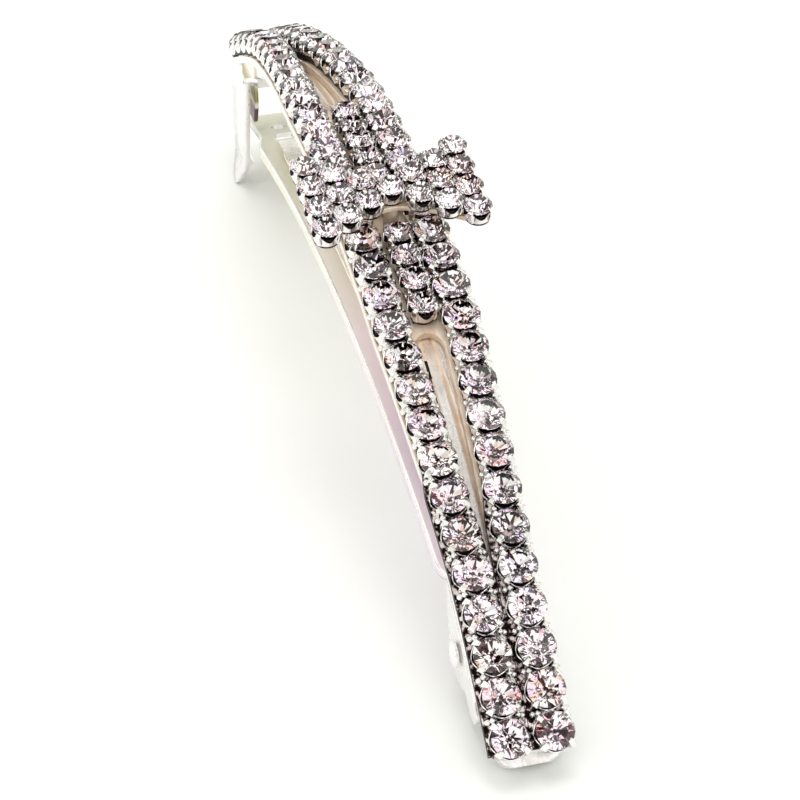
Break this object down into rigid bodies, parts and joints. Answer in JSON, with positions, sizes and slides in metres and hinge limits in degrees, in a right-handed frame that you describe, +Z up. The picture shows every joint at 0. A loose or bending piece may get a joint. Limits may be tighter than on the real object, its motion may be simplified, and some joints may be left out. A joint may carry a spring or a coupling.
{
  "type": "hair clip",
  "caption": "Arched French barrette set with rows of clear stones and a stone bow, with a hinged clasp arm, bowed spring and squeeze catch legs underneath.",
  "frame": {"origin": "on the table, under the middle of the clip's bounding box, with the clip standing arch up on its hinge end and its two catch legs", "axes": "+X along the clip towards the hinge end, -X towards the catch, -Y the front side, +Z up from the table"},
  "size_m": [0.079, 0.0118, 0.0228],
  "materials": {
    "silver_plate": "bright silver plate on steel, warm reflections",
    "spring_steel": "bright spring steel",
    "claw_silver": "bright silver plate, small claws",
    "warm_sheet": "polished sheet that mirrors warm tones",
    "clear_crystal": "clear faceted foil-backed crystal"
  },
  "bodies": {
    "clip_body": {"base_plate": "silver_plate", "stone_frame": "warm_sheet", "front_stone_row": "clear_crystal", "back_stone_row": "clear_crystal", "middle_stones_hinge_side": "clear_crystal", "middle_stones_catch_side": "clear_crystal", "bow_frame": "warm_sheet", "bow_post": "silver_plate", "hinge_bracket": "silver_plate", "hinge_pin": "silver_plate", "catch_bracket": "silver_plate", "bow_cup_knot": "claw_silver", "bow_cup_front_inner_1": "claw_silver", "bow_cup_front_inner_2": "claw_silver", "bow_cup_front_middle_1": "claw_silver", "bow_cup_front_middle_2": "claw_silver", "bow_cup_front_middle_3": "claw_silver", "bow_cup_front_outer_1": "claw_silver", "bow_cup_front_outer_2": "claw_silver", "bow_cup_front_outer_3": "claw_silver", "bow_cup_front_outer_4": "claw_silver", "bow_cup_back_inner_1": "claw_silver", "bow_cup_back_inner_2": "claw_silver", "bow_cup_back_middle_1": "claw_silver", "bow_cup_back_middle_2": "claw_silver", "bow_cup_back_middle_3": "claw_silver", "bow_cup_back_outer_1": "claw_silver", "bow_cup_back_outer_2": "claw_silver", "bow_cup_back_outer_3": "claw_silver", "bow_cup_back_outer_4": "claw_silver", "bow_stone_knot": "clear_crystal", "bow_stone_front_inner_1": "clear_crystal", "bow_stone_front_inner_2": "clear_crystal", "bow_stone_front_middle_1": "clear_crystal", "bow_stone_front_middle_2": "clear_crystal", "bow_stone_front_middle_3": "clear_crystal", "bow_stone_front_outer_1": "clear_crystal", "bow_stone_front_outer_2": "clear_crystal", "bow_stone_front_outer_3": "clear_crystal", "bow_stone_front_outer_4": "clear_crystal", "bow_stone_back_inner_1": "clear_crystal", "bow_stone_back_inner_2": "clear_crystal", "bow_stone_back_middle_1": "clear_crystal", "bow_stone_back_middle_2": "clear_crystal", "bow_stone_back_middle_3": "clear_crystal", "bow_stone_back_outer_1": "clear_crystal", "bow_stone_back_outer_2": "clear_crystal", "bow_stone_back_outer_3": "clear_crystal", "bow_stone_back_outer_4": "clear_crystal"},
    "arm": {"clasp_arm": "silver_plate", "tension_spring": "spring_steel"},
    "front_leg": {"front_catch_leg": "spring_steel"},
    "back_leg": {"back_catch_leg": "spring_steel"}
  },
  "joints": [
    {"name": "clasp_arm_hinge", "type": "hinge", "parent": "clip_body", "child": "arm", "pos_m": [0.03051, 0, 0.00369], "axis": [0, -1, 0], "range_deg": [0, 95]},
    {"name": "front_leg_flex", "type": "hinge", "parent": "clip_body", "child": "front_leg", "pos_m": [-0.03243, -0.00275, 0.00996], "axis": [0.888, 0, 0.4597], "range_deg": [-3, 2], "stiffness_Nm_per_rad": 0.02},
    {"name": "back_leg_flex", "type": "hinge", "parent": "clip_body", "child": "back_leg", "pos_m": [-0.03243, 0.00275, 0.00996], "axis": [-0.888, 0, -0.4597], "range_deg": [-3, 2], "stiffness_Nm_per_rad": 0.02}
  ]
}
